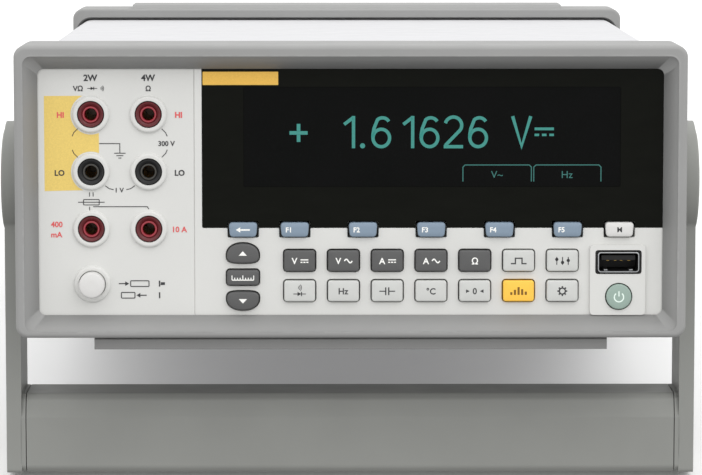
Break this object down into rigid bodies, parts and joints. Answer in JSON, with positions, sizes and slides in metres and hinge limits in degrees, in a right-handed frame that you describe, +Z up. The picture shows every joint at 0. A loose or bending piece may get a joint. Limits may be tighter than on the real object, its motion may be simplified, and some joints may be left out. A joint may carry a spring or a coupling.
{
  "type": "bench multimeter",
  "caption": "Half-rack bench multimeter in rubber boots, standing on its bail handle, with banana terminals, a wide display, a push-button keypad and rear connectors.",
  "frame": {"origin": "centre of the footprint on the table, at the level of the two faces that it stands on", "axes": "+X to the right of the front panel, +Y from the front to the rear, +Z up; the case leans back by 11 degrees about X"},
  "size_m": [0.237, 0.3179, 0.1559],
  "materials": {
    "boot_rubber": "moulded soft rubber, fine grain",
    "panel_plastic": "fine satin moulding",
    "cover_paint": "satin powder coat",
    "window_plastic": "smooth dark filter window",
    "display_glass": "dark display glass",
    "soft_key": "blue-grey key",
    "dark_key": "dark grey key",
    "light_key": "light grey key",
    "yellow_key": "yellow key",
    "power_key": "pale green key",
    "white_key": "white key",
    "red_insulator": "red insulator",
    "black_insulator": "black insulator",
    "handle_plastic": "grey moulding, fine grain",
    "steel": "plated sheet steel",
    "board": "coated circuit board",
    "copper_winding": "varnished winding",
    "mat_rubber": "silicone keypad"
  },
  "bodies": {
    "case": {"front_boot": "boot_rubber", "rear_boot": "boot_rubber", "front_panel": "panel_plastic", "case_cover": "cover_paint", "fuse_access_door": "cover_paint", "rear_panel": "cover_paint", "display_window": "window_plastic", "display_module": "display_glass", "keypad_mat": "mat_rubber", "front_board": "board", "main_board": "board", "power_transformer": "copper_winding", "jack_input_hi": "red_insulator", "jack_sense_hi": "red_insulator", "jack_current_low": "red_insulator", "jack_current_high": "red_insulator", "jack_input_lo": "black_insulator", "jack_sense_lo": "black_insulator", "usb_port": "steel", "chassis_tray": "steel", "rs232_connector": "steel", "lan_socket": "steel", "gpib_connector": "steel", "pivot_boss_left": "handle_plastic", "pivot_boss_right": "handle_plastic", "power_inlet": "black_insulator", "fan_frame": "black_insulator", "rear_terminal_block": "black_insulator"},
    "key_aci_body": {"key_aci": "dark_key"},
    "key_acv_body": {"key_acv": "dark_key"},
    "key_analyze_body": {"key_analyze": "yellow_key"},
    "key_back_body": {"key_back": "soft_key"},
    "key_cap_body": {"key_cap": "light_key"},
    "key_dci_body": {"key_dci": "dark_key"},
    "key_dcv_body": {"key_dcv": "dark_key"},
    "key_diode_body": {"key_diode": "light_key"},
    "key_f1_body": {"key_f1": "soft_key"},
    "key_f2_body": {"key_f2": "soft_key"},
    "key_f3_body": {"key_f3": "soft_key"},
    "key_f4_body": {"key_f4": "soft_key"},
    "key_f5_body": {"key_f5": "soft_key"},
    "key_freq_body": {"key_freq": "light_key"},
    "key_instr_setup_body": {"key_instr_setup": "light_key"},
    "key_meas_setup_body": {"key_meas_setup": "light_key"},
    "key_memory_body": {"key_memory": "white_key"},
    "key_ohms_body": {"key_ohms": "dark_key"},
    "key_range_body": {"key_range": "dark_key"},
    "key_range_down_body": {"key_range_down": "dark_key"},
    "key_range_up_body": {"key_range_up": "dark_key"},
    "key_temp_body": {"key_temp": "light_key"},
    "key_trig_body": {"key_trig": "light_key"},
    "key_zero_body": {"key_zero": "light_key"},
    "power_button_body": {"power_button": "power_key"},
    "input_select_body": {"input_select_button": "white_key"},
    "handle_body": {"handle_grip": "handle_plastic"},
    "arm_left_body": {"handle_arm_left": "handle_plastic"},
    "arm_right_body": {"handle_arm_right": "handle_plastic"},
    "rocker_body": {"power_rocker": "black_insulator"},
    "fuse_drawer_body": {"fuse_drawer": "black_insulator"},
    "fan_rotor_body": {"fan_rotor": "black_insulator"}
  },
  "joints": [
    {"name": "aci_press", "type": "slide", "parent": "case", "child": "key_aci_body", "axis": [0, 0.9816, -0.1908], "range_m": [0, 0.001], "stiffness_N_per_m": 1500},
    {"name": "acv_press", "type": "slide", "parent": "case", "child": "key_acv_body", "axis": [0, 0.9816, -0.1908], "range_m": [0, 0.001], "stiffness_N_per_m": 1500},
    {"name": "analyze_press", "type": "slide", "parent": "case", "child": "key_analyze_body", "axis": [0, 0.9816, -0.1908], "range_m": [0, 0.001], "stiffness_N_per_m": 1500},
    {"name": "back_press", "type": "slide", "parent": "case", "child": "key_back_body", "axis": [0, 0.9816, -0.1908], "range_m": [0, 0.001], "stiffness_N_per_m": 1500},
    {"name": "cap_press", "type": "slide", "parent": "case", "child": "key_cap_body", "axis": [0, 0.9816, -0.1908], "range_m": [0, 0.001], "stiffness_N_per_m": 1500},
    {"name": "dci_press", "type": "slide", "parent": "case", "child": "key_dci_body", "axis": [0, 0.9816, -0.1908], "range_m": [0, 0.001], "stiffness_N_per_m": 1500},
    {"name": "dcv_press", "type": "slide", "parent": "case", "child": "key_dcv_body", "axis": [0, 0.9816, -0.1908], "range_m": [0, 0.001], "stiffness_N_per_m": 1500},
    {"name": "diode_press", "type": "slide", "parent": "case", "child": "key_diode_body", "axis": [0, 0.9816, -0.1908], "range_m": [0, 0.001], "stiffness_N_per_m": 1500},
    {"name": "f1_press", "type": "slide", "parent": "case", "child": "key_f1_body", "axis": [0, 0.9816, -0.1908], "range_m": [0, 0.001], "stiffness_N_per_m": 1500},
    {"name": "f2_press", "type": "slide", "parent": "case", "child": "key_f2_body", "axis": [0, 0.9816, -0.1908], "range_m": [0, 0.001], "stiffness_N_per_m": 1500},
    {"name": "f3_press", "type": "slide", "parent": "case", "child": "key_f3_body", "axis": [0, 0.9816, -0.1908], "range_m": [0, 0.001], "stiffness_N_per_m": 1500},
    {"name": "f4_press", "type": "slide", "parent": "case", "child": "key_f4_body", "axis": [0, 0.9816, -0.1908], "range_m": [0, 0.001], "stiffness_N_per_m": 1500},
    {"name": "f5_press", "type": "slide", "parent": "case", "child": "key_f5_body", "axis": [0, 0.9816, -0.1908], "range_m": [0, 0.001], "stiffness_N_per_m": 1500},
    {"name": "freq_press", "type": "slide", "parent": "case", "child": "key_freq_body", "axis": [0, 0.9816, -0.1908], "range_m": [0, 0.001], "stiffness_N_per_m": 1500},
    {"name": "instr_setup_press", "type": "slide", "parent": "case", "child": "key_instr_setup_body", "axis": [0, 0.9816, -0.1908], "range_m": [0, 0.001], "stiffness_N_per_m": 1500},
    {"name": "meas_setup_press", "type": "slide", "parent": "case", "child": "key_meas_setup_body", "axis": [0, 0.9816, -0.1908], "range_m": [0, 0.001], "stiffness_N_per_m": 1500},
    {"name": "memory_press", "type": "slide", "parent": "case", "child": "key_memory_body", "axis": [0, 0.9816, -0.1908], "range_m": [0, 0.001], "stiffness_N_per_m": 1500},
    {"name": "ohms_press", "type": "slide", "parent": "case", "child": "key_ohms_body", "axis": [0, 0.9816, -0.1908], "range_m": [0, 0.001], "stiffness_N_per_m": 1500},
    {"name": "range_press", "type": "slide", "parent": "case", "child": "key_range_body", "axis": [0, 0.9816, -0.1908], "range_m": [0, 0.001], "stiffness_N_per_m": 1500},
    {"name": "range_down_press", "type": "slide", "parent": "case", "child": "key_range_down_body", "axis": [0, 0.9816, -0.1908], "range_m": [0, 0.001], "stiffness_N_per_m": 1500},
    {"name": "range_up_press", "type": "slide", "parent": "case", "child": "key_range_up_body", "axis": [0, 0.9816, -0.1908], "range_m": [0, 0.001], "stiffness_N_per_m": 1500},
    {"name": "temp_press", "type": "slide", "parent": "case", "child": "key_temp_body", "axis": [0, 0.9816, -0.1908], "range_m": [0, 0.001], "stiffness_N_per_m": 1500},
    {"name": "trig_press", "type": "slide", "parent": "case", "child": "key_trig_body", "axis": [0, 0.9816, -0.1908], "range_m": [0, 0.001], "stiffness_N_per_m": 1500},
    {"name": "zero_press", "type": "slide", "parent": "case", "child": "key_zero_body", "axis": [0, 0.9816, -0.1908], "range_m": [0, 0.001], "stiffness_N_per_m": 1500},
    {"name": "power_press", "type": "slide", "parent": "case", "child": "power_button_body", "axis": [0, 0.9816, -0.1908], "range_m": [0, 0.0015], "stiffness_N_per_m": 1200},
    {"name": "input_select_press", "type": "slide", "parent": "case", "child": "input_select_body", "axis": [0, 0.9816, -0.1908], "range_m": [0, 0.0035], "stiffness_N_per_m": 800},
    {"name": "handle_swing", "type": "hinge", "parent": "case", "child": "handle_body", "pos_m": [0, -0.10066, 0.09887], "axis": [-1, 0, 0], "range_deg": [0, 180]},
    {"name": "arm_left_pull", "type": "slide", "parent": "handle_body", "child": "arm_left_body", "axis": [-1, 0, 0], "range_m": [0, 0.006], "stiffness_N_per_m": 2000},
    {"name": "arm_right_pull", "type": "slide", "parent": "handle_body", "child": "arm_right_body", "axis": [1, 0, 0], "range_m": [0, 0.006], "stiffness_N_per_m": 2000},
    {"name": "rocker_tilt", "type": "hinge", "parent": "case", "child": "rocker_body", "pos_m": [0.082, 0.13295, 0.07434], "axis": [1, 0, 0], "range_deg": [0, 16]},
    {"name": "fuse_drawer_pull", "type": "slide", "parent": "case", "child": "fuse_drawer_body", "axis": [0, 0.9816, -0.1908], "range_m": [0, 0.018]},
    {"name": "fan_spin", "type": "hinge", "parent": "case", "child": "fan_rotor_body", "pos_m": [-0.022, 0.12872, 0.05785], "axis": [0, 0.9816, -0.1908], "continuous": true}
  ]
}
